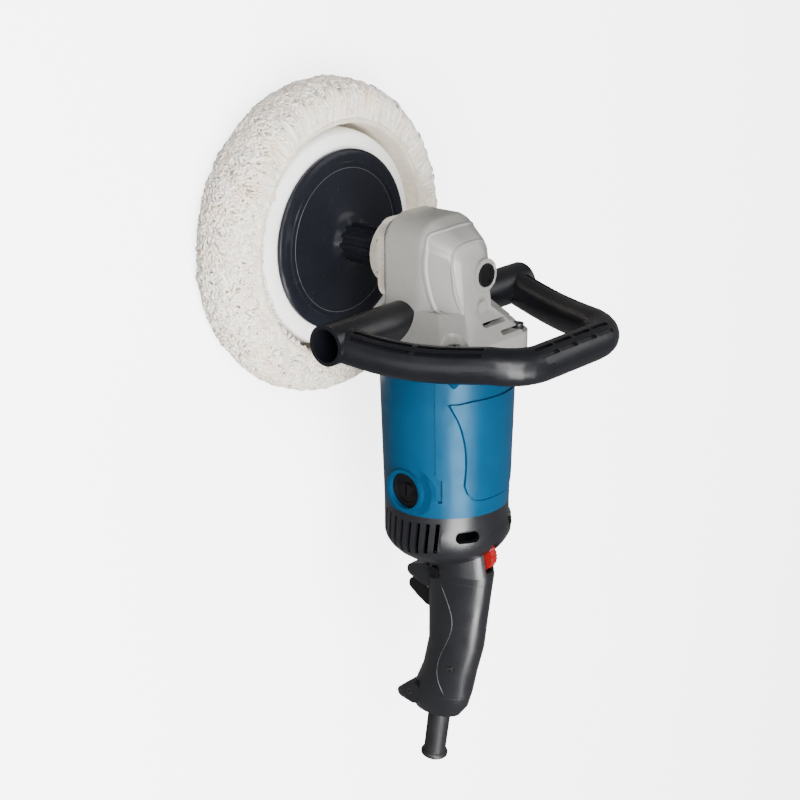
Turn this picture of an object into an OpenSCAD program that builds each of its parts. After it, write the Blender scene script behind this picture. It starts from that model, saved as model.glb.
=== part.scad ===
// Rotary polisher with a wool pad, a loop handle and a rear pistol handle.
// Frame: +Z along the spindle away from the pad, +X from the head to the rear
// handle, origin at the centre of the pad's working face.

/* [Polishing pad] */
// Radius of the wool at its widest
wool_r = 117; // [100:1:125]
// Thickness of the wool pad from working face to lip
wool_h = 46; // [42:1:52]
// Radius of the foam disc
foam_r = 81.5; // [75:0.5:84]
// Radius of the backing plate
plate_r = 67.5; // [60:0.5:70]

/* [Motor barrel] */
// Height of the barrel axis above the working face
barrel_z = 144; // [143:0.5:146]
// Outer radius of the barrel at the gear case
barrel_r_front = 49.2; // [48:0.2:50]
// Outer radius of the barrel at the rear seam
barrel_r = 46; // [45:0.5:47]
// Position of the gear case's rear face
case_x = 64; // [64:1:66]
// Position of the seam between the barrel and the rear body
seam_x = 178; // [177:1:180]

/* [Loop handle] */
// Radius of the round bar
loop_r = 12.8; // [11:0.2:13]
// Radius of the two hub tubes
hub_r = 14.5; // [14:0.1:15]
// Half width over the two open hub ends
loop_half_w = 109; // [104:1:112]
// Height of the hub tubes' axis
hub_z = 127; // [125:1:129]
// Height of the cross bar's axis
bar_z = 250; // [240:1:260]
// Bend radius at the two upper corners
loop_bend = 32; // [26:1:36]

/* [Rear handle] */
// Half width of the grip
grip_w = 16.8; // [15:0.2:18]
// Wall thickness of the plastic shells
shell_t = 3; // [2.5:0.1:3.2]
// Length of the cord guard outside the handle
guard_len = 44; // [35:1:60]
// Radius of the hole for the cord
cord_hole_r = 4.2; // [3.5:0.1:4.5]

/* [Gears] */
// Module of the spur stage
spur_m = 0.8; // [0.8:0.1:0.8]
// Teeth on the armature pinion
spur_z1 = 9; // [9:1:9]
// Teeth on the layshaft gear
spur_z2 = 27; // [27:1:27]
// Module of the bevel stage at the outer end
bevel_m = 1.35; // [1.3:0.05:1.4]
// Teeth on the bevel pinion
bevel_z1 = 11; // [11:1:11]
// Teeth on the crown gear
bevel_z2 = 33; // [33:1:33]

/* [Hidden] */

smooth = 96;   // facets of a large round face
fine = 48;     // facets of a small round face
eps = 0.01;
run_gap = 0.03; // radial clearance of a running shaft

// Gear layout
spur_gap = spur_m * (spur_z1 + spur_z2) / 2;
lay_z = barrel_z + spur_gap;
bevel_r1 = bevel_m * bevel_z1 / 2;
bevel_r2 = bevel_m * bevel_z2 / 2;
cone1 = atan(bevel_z1 / bevel_z2);
cone2 = 90 - cone1;
cone_len = bevel_r2 / sin(cone2);
bevel_face = 7;
spur_slack = 0.14; // share of a tooth's thickness left free

// Heights along the spindle
foam_z = 13.2;
plate_z = 41;
neck_top = 88;
box_z = 92;
case_z = 110;

// Spindle lock position, and the bevel web that it pins
lock_at = [7.5, 9.5];
lock_ring_top = 171.5;
lock_floor = 161;

// Depth of the loop handle's seats, and radius of the gear case's screw circle
hub_seat = 26;
case_screw_r = 51;
pocket_floor = 50.6;     // the gearcase screw heads stand on it

// Brush position along the barrel
brush_x = 160;

// Rear handle stations: x, centre height, half width, half height
grip = [
    [210, 157, 16, 26],
    [232, 158, grip_w + 0.7, 28.5],
    [252, 156.5, grip_w + 0.3, 27],
    [272, 155.5, grip_w, 25],
    [294, 154, grip_w, 23.5],
    [317, 148, grip_w, 23],
    [335, 142, grip_w, 25],
    [348, 136.5, grip_w - 1, 26.5],
    [357, 135.5, grip_w - 5, 20.5]
];

// Cord guard: start point and tilt
guard_at = [355, 138];
guard_tilt = 8.1;

// Cord clamp: middle of the bar, its underside and its screws
clamp_x = 329.5;
clamp_z = 131.6;
clamp_screw_y = 7;

// ---------- helpers ----------
module along_x(x, z = 0) { translate([x, 0, z]) rotate([0, 90, 0]) children(); }
module along_y(p) { translate(p) rotate([-90, 0, 0]) children(); }
module mirror_y() { children(); mirror([0, 1, 0]) children(); }

// Solid of revolution about the barrel axis from [radius, x] points
module barrel_turn(points, facets = smooth) {
    along_x(0, barrel_z) rotate_extrude($fn = facets) polygon(points);
}

module ring(r_out, r_in, h) {
    difference() {
        cylinder(r = r_out, h = h, $fn = fine);
        translate([0, 0, -1]) cylinder(r = r_in, h = h + 2, $fn = fine);
    }
}

// Ball bearing: two races, shields and the gap between them as one solid
module bearing(r_out, r_in, h) {
    difference() {
        ring(r_out, r_in, h);
        for (z = [-eps, h - 0.5 + eps]) {
            translate([0, 0, z]) ring(r_out - (r_out - r_in) * 0.3, r_in + (r_out - r_in) * 0.3, 0.5);
        }
    }
}

// Socket cap screw, head at z = 0 and shank towards -z
module cap_screw(r, len, head_r, head_h) {
    difference() {
        union() {
            cylinder(r = head_r, h = head_h, $fn = fine);
            translate([0, 0, -len]) cylinder(r = r, h = len + eps, $fn = fine);
        }
        translate([0, 0, head_h * 0.4]) cylinder(r = r * 0.75, h = head_h, $fn = 6);
    }
}

// Pan-head screw with a cross recess
module pan_screw(r, len, head_r, head_h) {
    difference() {
        union() {
            cylinder(r = head_r, h = head_h, $fn = fine);
            translate([0, 0, -len]) cylinder(r = r, h = len + eps, $fn = fine);
        }
        for (a = [0, 90]) {
            rotate([0, 0, a]) translate([-head_r * 0.6, -head_r * 0.12, head_h * 0.4])
                cube([head_r * 1.2, head_r * 0.24, head_h]);
        }
    }
}

// Coil spring along +z: one swept tube of round wire
module coil(r, wire, turns, len) {
    steps = 14;
    sides = 6;
    n = floor(turns * steps);
    points = [for (i = [0:n]) let (a = 360 * i / steps, z = wire + (len - 2 * wire) * i / n)
        for (j = [0:sides - 1]) let (b = 360 * j / sides)
            [(r + wire * cos(b)) * cos(a), (r + wire * cos(b)) * sin(a), z + wire * sin(b)]];
    walls = [for (i = [0:n - 1]) for (j = [0:sides - 1])
        [i * sides + j, i * sides + (j + 1) % sides,
         (i + 1) * sides + (j + 1) % sides, (i + 1) * sides + j]];
    first = [for (j = [0:sides - 1]) sides - 1 - j];
    last = [for (j = [0:sides - 1]) n * sides + j];
    polyhedron(points = points, faces = concat([first], walls, [last]), convexity = 8);
}

// ---------- gear teeth ----------
function inv_angle(rb, r) = r <= rb ? 0 : let (t = sqrt(r * r / (rb * rb) - 1)) (t * 180 / PI - atan(t));

// Half the angle that a tooth takes at radius r, on a gear of pitch radius rp
function half_tooth(m, z, rp, r, slack) =
    let (rb = rp * cos(20))
    90 / z * (1 - slack) + inv_angle(rb, rp) - inv_angle(rb, r);

// Outline of one spur gear
function spur_points(m, z, slack) =
    let (rp = m * z / 2, ra = rp + m * 0.8, rr = rp - m * 1.2, n = 4)
    [for (k = [0:z - 1]) let (c = 360 * k / z)
        for (p = concat(
            [[rr, -half_tooth(m, z, rp, rr, slack)]],
            [for (i = [0:n]) let (r = max(rr + 0.05, rp * cos(20)) * (1 - i / n) + ra * i / n)
                [r, -half_tooth(m, z, rp, r, slack)]],
            [for (i = [n:-1:0]) let (r = max(rr + 0.05, rp * cos(20)) * (1 - i / n) + ra * i / n)
                [r, half_tooth(m, z, rp, r, slack)]],
            [[rr, half_tooth(m, z, rp, rr, slack)]]))
            p[0] * [cos(c + p[1]), sin(c + p[1])]];

// One bevel tooth: section [u, v] on the back cone, drawn towards the apex.
// cone is the pitch cone angle, the apex is at the origin, the gear axis is -z.
module bevel_tooth(m, z, cone, slack) {
    rp = m * z / 2;
    rv = rp / cos(cone);
    rb = rv * cos(20);
    zv = z / cos(cone);
    ra = rv + m * 0.85;
    rr = rv - m * 1.25;
    n = 3;
    radii = concat([rr], [for (i = [0:n]) max(rr + 0.05, rb) * (1 - i / n) + ra * i / n]);
    half = [for (r = radii) let (h = half_tooth(m, zv, rv, r, slack)) [r * sin(h), r * cos(h) - rv]];
    count = len(half);
    section = concat([for (p = half) [-p[0], p[1]]], [for (i = [count - 1:-1:0]) half[i]]);
    total = len(section);
    long = rp / sin(cone);
    scales = [1, 1 - bevel_face / long];
    points = [for (s = scales) for (p = section)
        s * [long * sin(cone) + p[1] * cos(cone), p[0], -long * cos(cone) + p[1] * sin(cone)]];
    sides = [for (i = [0:total - 1]) [total + i, total + (i + 1) % total, (i + 1) % total, i]];
    big = [for (i = [0:total - 1]) i];
    small = [for (i = [total - 1:-1:0]) total + i];
    polyhedron(points = points, faces = concat([big], sides, [small]), convexity = 4);
}

// Gear blank under the teeth: root cone, from the outer to the inner end
module bevel_blank(m, z, cone, back) {
    rp = m * z / 2;
    long = rp / sin(cone);
    s = 1 - bevel_face / long;
    drop = 1.2 * m;
    outer = [long * sin(cone) - drop * cos(cone), -long * cos(cone) - drop * sin(cone)];
    inner = s * outer;
    rotate_extrude($fn = fine) polygon([
        [0, inner[1]], inner, outer, [outer[0], outer[1] - back * 0.5],
        [outer[0] * 0.8, outer[1] - back], [0, outer[1] - back]
    ]);
}

module bevel_gear(m, z, cone, back, slack) {
    bevel_blank(m, z, cone, back);
    for (k = [0:z - 1]) rotate([0, 0, 360 * k / z]) bevel_tooth(m, z, cone, slack);
}

// ---------- pad and spindle ----------
module wool_pile() {
    lip_r = 88.3;
    color([0.90, 0.86, 0.79]) rotate_extrude($fn = smooth) polygon(concat(
        [[0, 0], [wool_r - 15, 0]],
        [for (a = [-80:10:80]) [wool_r - 17 + 17 * cos(a), wool_h / 2 + (wool_h / 2) * sin(a)]],
        [[lip_r, wool_h], [lip_r, foam_z - 1.4], [0, foam_z - 1.4]]
    ));
}

module bonnet_backing() {
    color([0.86, 0.80, 0.70]) rotate_extrude($fn = smooth) polygon([
        [0, foam_z - 1.2], [88, foam_z - 1.2], [88, wool_h + 0.3], [94, wool_h + 0.6],
        [94, wool_h + 1.6], [86.8, wool_h + 1.6], [86.8, foam_z], [0, foam_z]
    ]);
}

module foam_disc() {
    bulge = 5;
    color([0.93, 0.93, 0.91]) rotate_extrude($fn = smooth) polygon(concat(
        [[0, foam_z + eps], [foam_r - bulge, foam_z + eps]],
        [for (a = [-60:15:75]) [foam_r - bulge + bulge * cos(a), 27 + 13.4 * sin(a)]],
        [[plate_r - 3, plate_z - eps], [0, plate_z - eps]]
    ));
}

module backing_plate() {
    neck_r = 14.5;
    color([0.06, 0.065, 0.075]) difference() {
        union() {
            rotate_extrude($fn = smooth) polygon([
                [0, plate_z], [plate_r - 2, plate_z], [plate_r, plate_z + 1.5],
                [plate_r, plate_z + 4], [plate_r - 2, plate_z + 5.6], [58.6, plate_z + 6],
                [58, plate_z + 6.8], [56.6, plate_z + 6.8], [56, plate_z + 6],
                [30, plate_z + 7.4], [20, plate_z + 9], [neck_r - 1.5, plate_z + 14],
                [neck_r - 1.5, neck_top], [0, neck_top]
            ]);
            for (a = [0:30:330]) rotate([0, 0, a]) translate([neck_r - 3, -1.6, plate_z + 6])
                cube([3, 3.2, neck_top - plate_z - 7]);
        }
        translate([0, 0, plate_z + 3]) cylinder(r = 10, h = 60, $fn = fine);
    }
}

module plate_insert() {
    color([0.62, 0.63, 0.64]) translate([0, 0, plate_z + 3]) difference() {
        cylinder(r = 10, h = neck_top - plate_z - 5, $fn = fine);
        translate([0, 0, 6]) cylinder(r = 7, h = 60, $fn = fine);
    }
}

module spindle_shaft() {
    color([0.70, 0.71, 0.72]) difference() {
        union() {
            translate([0, 0, 52]) cylinder(r = 7, h = 37, $fn = fine);
            translate([0, 0, neck_top + 0.2]) cylinder(r = 10.5, h = 6, $fn = fine);
            translate([0, 0, 93]) cylinder(r = 8.5, h = 36, $fn = fine);
            translate([0, 0, 128]) cylinder(r = 7, h = 26, $fn = fine);
            translate([0, 0, 153]) cylinder(r = 5, h = 10.4, $fn = fine);
        }
        for (s = [-1, 1]) translate([s * 12, 0, 89.5]) cube([6, 24, 7], center = true);
    }
}

module crown_gear() {
    hole_at = norm(lock_at);
    hole_turn = atan2(lock_at[1], lock_at[0]);
    color([0.45, 0.45, 0.46]) difference() {
        translate([0, 0, lay_z]) bevel_gear(bevel_m, bevel_z2, cone2, 5, 0.06);
        translate([0, 0, 120]) cylinder(r = 7, h = 60, $fn = fine);
        for (a = [0:90:270]) rotate([0, 0, hole_turn + a])
            translate([hole_at, 0, 120]) cylinder(r = 2.5, h = 60, $fn = fine);
    }
}

module crown_retainer() {
    crown_back = lay_z - cone_len * cos(cone2) - 1.2 * bevel_m * sin(cone2) - 5;
    color([0.35, 0.35, 0.36]) translate([0, 0, 129]) ring(11, 7, crown_back - 129);
}

module bearing_box() {
    color([0.80, 0.80, 0.79]) difference() {
        union() {
            translate([0, 0, box_z]) cylinder(r = 24, h = 12.5, $fn = smooth);
            translate([0, 0, box_z + 12]) hull() for (x = [-16, 16], y = [-16, 16])
                translate([x, y, 0]) cylinder(r = 13, h = case_z - box_z - 12, $fn = 32);
            translate([0, 0, case_z - 1]) cylinder(r = 24.2, h = 5, $fn = smooth);
        }
        translate([0, 0, box_z - 1]) cylinder(r = 11.5, h = 60, $fn = fine);
        translate([0, 0, 98]) cylinder(r = 17.5, h = 60, $fn = fine);
        for (a = [45:90:315]) rotate([0, 0, a]) {
            translate([27, 0, 100]) cylinder(r = 2.1, h = 30, $fn = fine);
            translate([27, 0, 100]) cylinder(r = 4, h = 6, $fn = fine);
        }
        for (a = [0:60:300]) rotate([0, 0, a]) translate([21, 0, 98])
            rotate([0, 90, 0]) cylinder(r = 2, h = 6, $fn = fine);
    }
}

module bearing_box_screws() {
    color([0.25, 0.25, 0.26]) for (a = [45:90:315]) rotate([0, 0, a])
        translate([27, 0, 106]) rotate([180, 0, 0]) cap_screw(2, 8, 3.6, 3);
}

module felt_seal() {
    color([0.5, 0.48, 0.45]) translate([0, 0, 95]) ring(11.5, 8.53, 3);
}

module spindle_bearing() {
    color([0.66, 0.67, 0.68]) translate([0, 0, 98]) bearing(17.5, 8.5 + run_gap, 12);
}

module upper_bush() {
    color([0.70, 0.52, 0.25]) translate([0, 0, 156.5]) ring(7.5, 5 + run_gap, 7);
}

// ---------- gear case ----------
// Corners of one slice of the head, for a hull: round in front, square at the rear
module head_slice(z1, z2, front, half_w, r, rear) {
    translate([0, 0, z1]) {
        for (s = [-1, 1]) translate([front + r, s * (half_w - r), 0]) cylinder(r = r, h = z2 - z1, $fn = 32);
        translate([rear - 2, -half_w, 0]) cube([2, half_w * 2, z2 - z1]);
    }
}

// Rounded square across the barrel
module square_section(x, half, r, len) {
    translate([x, 0, barrel_z]) rotate([0, 90, 0]) linear_extrude(len) {
        square([2 * half, 2 * (half - r)], center = true);
        square([2 * (half - r), 2 * half], center = true);
        for (a = [-1, 1], b = [-1, 1]) translate([a * (half - r), b * (half - r)])
            circle(r = r, $fn = fine);
    }
}

// Slot with round ends, cut down from above: centre, length, turn
module shoulder_slot(x, y, len, turn) {
    slot_r = 1.5;
    translate([x, y, 150]) rotate([0, 0, turn]) linear_extrude(40) polygon(concat(
        [for (a = [0:30:180]) [slot_r * cos(a), len / 2 + slot_r * sin(a)]],
        [for (a = [180:30:360]) [slot_r * cos(a), -len / 2 + slot_r * sin(a)]]));
}

// Copies at the four corner screws of the gear case, on the barrel axis
module case_corners(radius) {
    for (a = [45:90:315]) translate([0, 0, barrel_z]) rotate([a, 0, 0]) translate([0, 0, radius])
        children();
}

module head_outer() {
    hull() {
        head_slice(case_z, case_z + 1, -31.6, 28.2, 20, 36);
        head_slice(case_z + 3, 141, -33.5, 30, 21, 36);
        head_slice(144.5, 145.5, -32, 28.4, 19, 36);
        head_slice(161.5, 162.5, -20, 21, 13, 36);
        head_slice(167.6, 168, -13, 14.5, 10, 14);
        translate([33, -15, 168]) cube([3, 30, 4.2]);
    }
}

// Space behind the web for the spur stage, the gear plate and the motor's air.
// It leaves a boss round each seat of the loop handle.
module rear_space() {
    difference() {
        union() {
            barrel_turn([[0, 38], [30, 38], [40.5, 51.5], [43.5, 52.5], [43.5, case_x + 1], [0, case_x + 1]]);
            along_x(36.8, barrel_z) cylinder(r = 7, h = 4, $fn = fine);
        }
        mirror_y() along_y([40, 22, hub_z]) cylinder(r = hub_r + 2.3, h = 40, $fn = fine);
    }
}

module gear_housing() {
    color([0.66, 0.665, 0.65]) difference() {
        union() {
            head_outer();
            hull() {
                translate([30, -29, case_z + 1]) cube([1, 58, 48]);
                translate([30, -14, 168]) cube([1, 28, 3.4]);
                square_section(51, 46, 17, case_x - 51);
            }
            translate([lock_at[0], lock_at[1], 158]) cylinder(r = 12, h = lock_ring_top - 158, $fn = fine);
            translate([29, 3, 166]) cylinder(r = 4.5, h = 8, $fn = fine);
        }
        // bearing box opening and the crown gear's space
        translate([0, 0, case_z - 1]) cylinder(r = 24.25, h = 10, $fn = smooth);
        rotate_extrude($fn = smooth) polygon([[0, case_z + 4.5], [26.3, case_z + 4.5], [26.3, 150],
            [20, 156], [0, 156]]);
        along_x(13, lay_z) cylinder(r = 9.4, h = 14, $fn = fine);
        rear_space();
        along_x(25, lay_z) cylinder(r = 7.5, h = 14, $fn = fine);
        // upper bush
        translate([0, 0, 155]) cylinder(r = 7.5, h = 8.5, $fn = fine);
        // spindle lock
        translate([lock_at[0], lock_at[1], lock_floor]) cylinder(r = 8.6, h = 14, $fn = fine);
        translate([lock_at[0], lock_at[1], 150]) cylinder(r = 2.35, h = 20, $fn = fine);
        // seats and bolt holes of the loop handle
        mirror_y() along_y([40, hub_seat, hub_z]) {
            cylinder(r = hub_r + 0.05, h = 40, $fn = smooth);
            translate([0, 0, -16]) cylinder(r = 4, h = 20, $fn = fine);
        }
        // bearing box screw holes
        for (a = [45:90:315]) rotate([0, 0, a]) translate([27, 0, 105]) cylinder(r = 2, h = 10, $fn = fine);
        // exhaust slots on the shoulder, the short ones round the corner
        shoulder_slot(40, 8, 22, 0);
        shoulder_slot(47, 20, 20, 0);
        shoulder_slot(38.5, 27, 6, 40);
        shoulder_slot(45.5, 36.5, 8, 40);
        // screw pockets in the four corners
        case_corners(54) along_x(pocket_floor - 17) cylinder(r = 10.5, h = 17, $fn = fine);
        case_corners(case_screw_r) along_x(50) cylinder(r = 2.4, h = 20, $fn = fine);
    }
}

module gearcase_screws() {
    color([0.2, 0.2, 0.21]) case_corners(case_screw_r) translate([pocket_floor, 0, 0]) rotate([0, -90, 0])
        cap_screw(2.2, 18, 4.2, 4);
}

module lock_button() {
    color([0.08, 0.08, 0.09]) translate([lock_at[0], lock_at[1], 168.5]) difference() {
        cylinder(r = 8.2, h = 4.4, $fn = fine);
        translate([0, 0, 3.6]) cylinder(r = 5.5, h = 2, $fn = fine);
        translate([0, 0, -1]) cylinder(r = 2, h = 3, $fn = fine);
    }
}

module lock_pin() {
    color([0.7, 0.7, 0.71]) translate([lock_at[0], lock_at[1], 154.2]) cylinder(r = 2, h = 16.3, $fn = fine);
}

module lock_spring() {
    color([0.6, 0.6, 0.62]) translate([lock_at[0], lock_at[1], lock_floor + 0.05]) coil(3.9, 0.4, 3.5, 7.3);
}

// ---------- reduction ----------
module bevel_pinion() {
    half_pitch = 180 / bevel_z1;
    color([0.48, 0.48, 0.49]) difference() {
        translate([0, 0, lay_z]) rotate([0, -90, 0]) rotate([0, 0, half_pitch + 180])
            bevel_gear(bevel_m, bevel_z1, cone1, 3.4, 0.06);
        along_x(5, lay_z) cylinder(r = 4, h = 30, $fn = fine);
    }
}

module layshaft() {
    color([0.72, 0.72, 0.73]) along_x(15, lay_z) cylinder(r = 4, h = 39.2, $fn = fine);
}

module layshaft_gear() {
    color([0.50, 0.50, 0.51]) difference() {
        along_x(38, lay_z) linear_extrude(8) polygon(spur_points(spur_m, spur_z2, spur_slack));
        along_x(37, lay_z) cylinder(r = 4, h = 12, $fn = fine);
    }
}

module layshaft_bush() {
    color([0.70, 0.52, 0.25]) along_x(27.2, lay_z) ring(7.5, 4 + run_gap, 9.6);
}

module layshaft_bearing() {
    color([0.66, 0.67, 0.68]) along_x(48.6, lay_z) bearing(9.5, 4 + run_gap, 6);
}

module gear_plate() {
    plate_x = 55.2;
    color([0.72, 0.72, 0.71]) difference() {
        union() {
            along_x(plate_x, barrel_z) cylinder(r = 43.3, h = 3.6, $fn = smooth);
            along_x(48, lay_z) cylinder(r = 12, h = 8, $fn = fine);
            along_x(57, barrel_z) cylinder(r = 19, h = 12, $fn = fine);
        }
        along_x(40, lay_z) cylinder(r = 9.5, h = 14.6, $fn = fine);
        along_x(40, barrel_z) cylinder(r = 6.5, h = 40, $fn = fine);
        along_x(58.6, barrel_z) cylinder(r = 16, h = 20, $fn = fine);
        for (a = [0:45:315]) translate([0, 0, barrel_z]) rotate([a, 0, 0])
            translate([0, 0, 31]) along_x(50) cylinder(r = 5, h = 20, $fn = fine);
        mirror_y() along_y([40, 20, hub_z]) cylinder(r = hub_r + 2.6, h = 40, $fn = fine);
    }
}

// ---------- motor ----------
module armature_front_bearing() {
    color([0.66, 0.67, 0.68]) along_x(58.6, barrel_z) bearing(16, 5 + run_gap, 10);
}

module armature_shaft() {
    color([0.72, 0.72, 0.73]) {
        along_x(37.3, barrel_z) cylinder(r = 2.4, h = 11, $fn = fine);
        along_x(47.9, barrel_z) cylinder(r = 4, h = 10, $fn = fine);
        along_x(57, barrel_z) cylinder(r = 5, h = 112.4, $fn = fine);
        along_x(169, barrel_z) cylinder(r = 4, h = 8.4, $fn = fine);
    }
}

module armature_pinion() {
    color([0.48, 0.48, 0.49]) difference() {
        along_x(37.4, barrel_z) linear_extrude(9.2) polygon(spur_points(spur_m, spur_z1, spur_slack));
        along_x(36, barrel_z) cylinder(r = 2.4, h = 14, $fn = fine);
    }
}

module armature_core() {
    slots = 12;
    color([0.42, 0.42, 0.44]) difference() {
        along_x(90, barrel_z) cylinder(r = 22, h = 48, $fn = smooth);
        along_x(80, barrel_z) cylinder(r = 5, h = 80, $fn = fine);
        for (k = [0:slots - 1]) along_x(80, barrel_z) rotate([0, 0, 360 * k / slots])
            translate([16, -1.2, 0]) cube([8, 2.4, 80]);
    }
}

module armature_windings() {
    slots = 12;
    color([0.72, 0.40, 0.18]) {
        for (x = [81, 138]) along_x(x, barrel_z) ring(20, 5.1, 9);
        for (k = [0:slots - 1]) along_x(89.9, barrel_z) rotate([0, 0, 360 * k / slots])
            translate([16.1, -1.1, 0]) cube([3.5, 2.2, 48.2]);
    }
}

module commutator() {
    bars = 24;
    color([0.80, 0.47, 0.25]) difference() {
        union() {
            along_x(148, barrel_z) cylinder(r = 15, h = 3, $fn = fine);
            along_x(150, barrel_z) cylinder(r = 13.5, h = 18.6, $fn = fine);
        }
        along_x(140, barrel_z) cylinder(r = 5, h = 40, $fn = fine);
        for (k = [0:bars - 1]) along_x(147, barrel_z) rotate([0, 0, 360 * k / bars])
            translate([12.8, -0.2, 0]) cube([4, 0.4, 30]);
    }
}

module fan() {
    blades = 14;
    color([0.12, 0.12, 0.13]) difference() {
        union() {
            along_x(71, barrel_z) cylinder(r = 12, h = 8, $fn = fine);
            along_x(76.5, barrel_z) cylinder(r = 36, h = 2, $fn = smooth);
            for (k = [0:blades - 1]) along_x(71, barrel_z) rotate([0, 0, 360 * k / blades])
                translate([11, -0.9, 0]) cube([25, 1.8, 6]);
        }
        along_x(60, barrel_z) cylinder(r = 5, h = 30, $fn = fine);
    }
}

module armature_rear_bearing() {
    color([0.66, 0.67, 0.68]) along_x(170, barrel_z) bearing(11, 4 + run_gap, 7);
}

module fan_baffle() {
    color([0.14, 0.14, 0.15]) barrel_turn([[37.5, 70], [43, 70], [43, 73], [41, 80.5], [41, 82],
        [26, 82], [26, 80.5], [37.5, 79.2]]);
}

// Ring sector about the barrel axis, centred on +z or -z
module sector(r1, r2, a1, a2) {
    polygon(concat([for (i = [0:8]) let (a = a1 + (a2 - a1) * i / 8) r2 * [cos(a), sin(a)]],
        [for (i = [8:-1:0]) let (a = a1 + (a2 - a1) * i / 8) r1 * [cos(a), sin(a)]]));
}

module stator_core() {
    color([0.36, 0.36, 0.38]) difference() {
        along_x(90, barrel_z) cylinder(r = 41, h = 48, $fn = smooth);
        along_x(80, barrel_z) cylinder(r = 22.6, h = 80, $fn = smooth);
        for (p = [0, 180], s = [-1, 1]) along_x(80, barrel_z) linear_extrude(80)
            rotate(p) sector(26, 35, s * 34, s * 84);
        for (s = [-1, 1]) along_x(80, barrel_z) translate([0, s * 38, 0])
            cylinder(r = 2.6, h = 80, $fn = fine);
    }
}

module field_coils() {
    color([0.75, 0.42, 0.20]) for (p = [0, 180]) {
        for (s = [-1, 1]) along_x(84, barrel_z) linear_extrude(60) rotate(p) sector(26.6, 34.4, s * 36, s * 80);
        for (x = [84, 138.2]) along_x(x, barrel_z) linear_extrude(5.8) rotate(p) sector(26.6, 34.4, -80, 80);
    }
}

module stator_screws() {
    color([0.3, 0.3, 0.31]) for (s = [-1, 1]) translate([138, s * 38, barrel_z])
        rotate([0, 90, 0]) pan_screw(2.3, 46, 3, 2.4);
}

// Outline of the raised panel on top of the barrel, seen from above, drawn in by inset
module panel_outline(inset) {
    // [position along the barrel, half width]: a waist in front of a rounded rear end
    side = [for (x = [90:7:153]) [x, 27.6 + 10 * pow((x - 153) / 63, 2) - 1.6 * sin((x - 90) * 3)]];
    rear = [for (a = [10:20:90]) [153 + 13.5 * sin(a), 15 + 12.4 * cos(a)]];
    front = [[88, 10], [88.4, 24], [90, 34]];
    half = concat(front, side, rear);
    polygon(concat([for (p = half) [p[0] + (p[0] < 100 ? inset : p[0] > 160 ? -inset : 0), p[1] - inset]],
        [for (i = [len(half) - 1:-1:0]) let (p = half[i])
            [p[0] + (p[0] < 100 ? inset : p[0] > 160 ? -inset : 0), inset - p[1]]]));
}

// Radius of the barrel's surface plus lift, as points for barrel_turn
function barrel_skin(lift, x1, x2) =
    let (taper = (barrel_r_front - barrel_r) / (seam_x - case_x))
    [[30, x1], [barrel_r_front - taper * (x1 - case_x) + lift, x1],
        [barrel_r_front - taper * (x2 - case_x) + lift, x2], [30, x2]];

module motor_housing() {
    wall_r = 43.2;
    groove = 1.1;
    color([0.02, 0.36, 0.56]) difference() {
        union() {
            barrel_turn([[30, case_x], [barrel_r_front + 0.4, case_x], [barrel_r_front, case_x + 3],
                [barrel_r, seam_x], [30, seam_x]]);
            // flange with four screw bosses that fade into the barrel
            square_section(case_x, 46, 17, 7);
            case_corners(case_screw_r - 1) along_x(case_x + 7 - eps) cylinder(r1 = 7, r2 = 1.5, h = 7, $fn = fine);
            intersection() {
                barrel_turn(barrel_skin(0.8, 80, 170));
                translate([0, 0, barrel_z + 10]) linear_extrude(60) panel_outline(groove);
            }
            // brush cap ring and the low pad beside it
            mirror_y() along_y([brush_x, 36, barrel_z]) cylinder(r = 16, h = 12.4, $fn = smooth);
            mirror_y() along_y([brush_x - 1, 36, barrel_z + 4.5]) cylinder(r = 19, h = 9.2, $fn = smooth);
        }
        barrel_turn([[0, case_x - 1], [wall_r, case_x - 1], [wall_r, 84], [41.05, 90],
            [41.05, 146], [40, 152], [40, 168], [0, 168]]);
        // groove round the raised panel
        difference() {
            translate([0, 0, barrel_z + 10]) linear_extrude(60) difference() {
                panel_outline(0);
                panel_outline(groove);
            }
            barrel_turn(barrel_skin(-0.8, 60, 200));
        }
        // long groove towards the screw boss, one each side
        mirror_y() translate([0, 0, barrel_z]) rotate([29, 0, 0]) translate([76, barrel_r_front - 1.3, -0.5])
            rotate([0, 0, -1.6]) cube([68, 6, 1]);
        mirror_y() along_y([brush_x, 42.8, barrel_z]) cylinder(r = 13.4, h = 8, $fn = smooth);
        mirror_y() along_y([brush_x, 12, barrel_z]) cylinder(r = 7.4, h = 40, $fn = fine);
        along_x(170, barrel_z) cylinder(r = 11, h = 20, $fn = fine);
        along_x(160, barrel_z) cylinder(r = 6, h = 20, $fn = fine);
        for (a = [0:45:315]) translate([0, 0, barrel_z]) rotate([a, 0, 0])
            translate([0, 0, 27]) along_x(160) cylinder(r = 7, h = 30, $fn = fine);
        // narrow recess beside the brush cap, on both sides
        mirror_y() translate([0, 0, barrel_z]) rotate([33.5, 0, 0]) translate([148.5, 43.9, -1.5])
            cube([17.5, 8, 3]);
        case_corners(case_screw_r) along_x(50) cylinder(r = 2.4, h = 20.5, $fn = fine);
    }
}

module brush_holders() {
    color([0.72, 0.58, 0.28]) mirror_y() difference() {
        along_y([brush_x, 15, barrel_z]) cylinder(r = 7.35, h = 27.5, $fn = fine);
        translate([brush_x - 3.3, 10, barrel_z - 4.3]) cube([6.6, 50, 8.6]);
    }
}

module carbon_brushes() {
    color([0.13, 0.13, 0.14]) mirror_y() difference() {
        translate([brush_x - 3.2, 12, barrel_z - 4.2]) cube([6.4, 18, 8.4]);
        along_x(140, barrel_z) cylinder(r = 13.85, h = 40, $fn = fine);
    }
}

module brush_springs() {
    color([0.62, 0.62, 0.63]) mirror_y() along_y([brush_x, 30.2, barrel_z]) coil(2.4, 0.35, 5, 12);
}

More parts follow.
